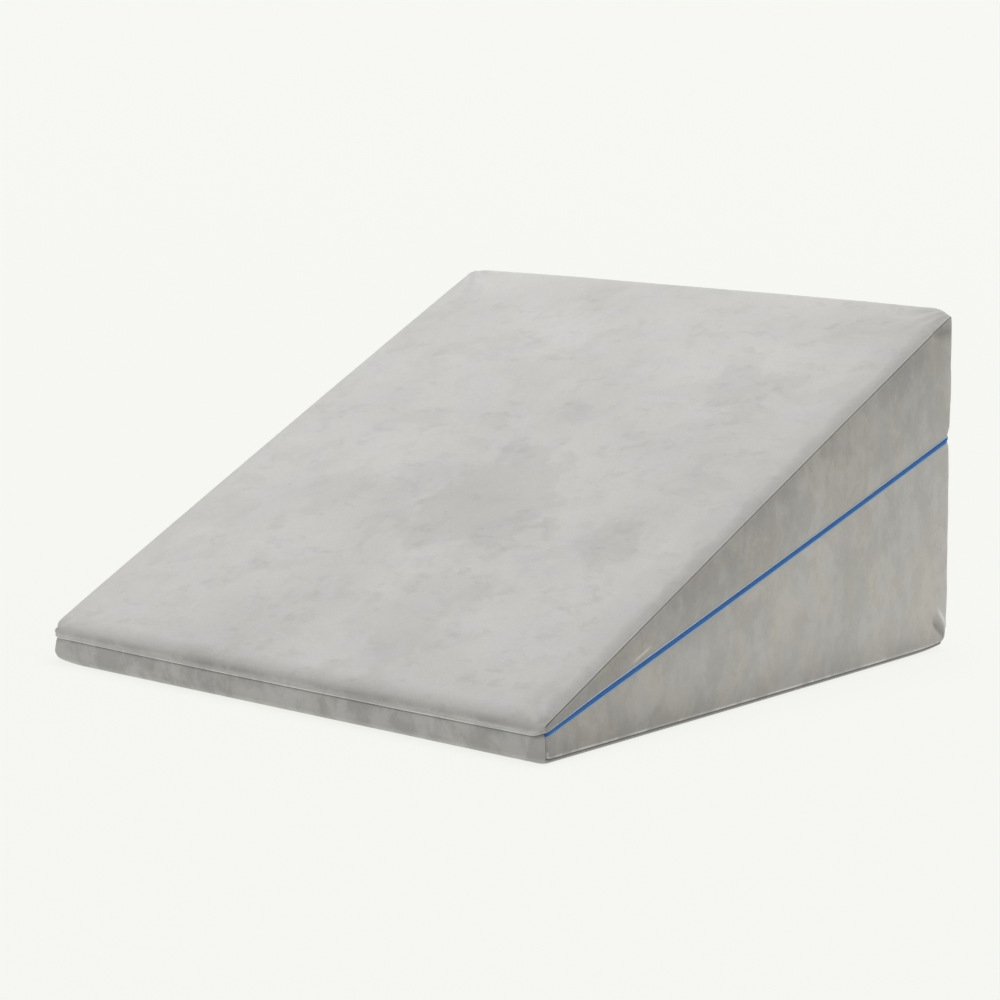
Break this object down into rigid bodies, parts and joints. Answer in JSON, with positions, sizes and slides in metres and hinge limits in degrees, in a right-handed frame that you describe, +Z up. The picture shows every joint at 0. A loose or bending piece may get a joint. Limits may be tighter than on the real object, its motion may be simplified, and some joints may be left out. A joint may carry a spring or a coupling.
{
  "type": "leg support pillow",
  "caption": "Wide low wedge pillow for raising the legs, with a thin wedge cushion zipped on to a thicker one, both in soft short-pile covers.",
  "frame": {"origin": "centre of the underside, on the surface that the pillow rests on", "axes": "+X across the width, +Y from the thin front edge to the tall back, +Z up"},
  "size_m": [0.614, 0.6128, 0.3319],
  "materials": {
    "cover": "short soft pile in warm light grey",
    "zip_tape": "woven blue tape",
    "zip_coil": "satin blue"
  },
  "bodies": {
    "root": {"upper_wedge": "cover", "lower_wedge": "cover", "zip_tape": "zip_tape", "zip_coil": "zip_coil"}
  },
  "joints": []
}
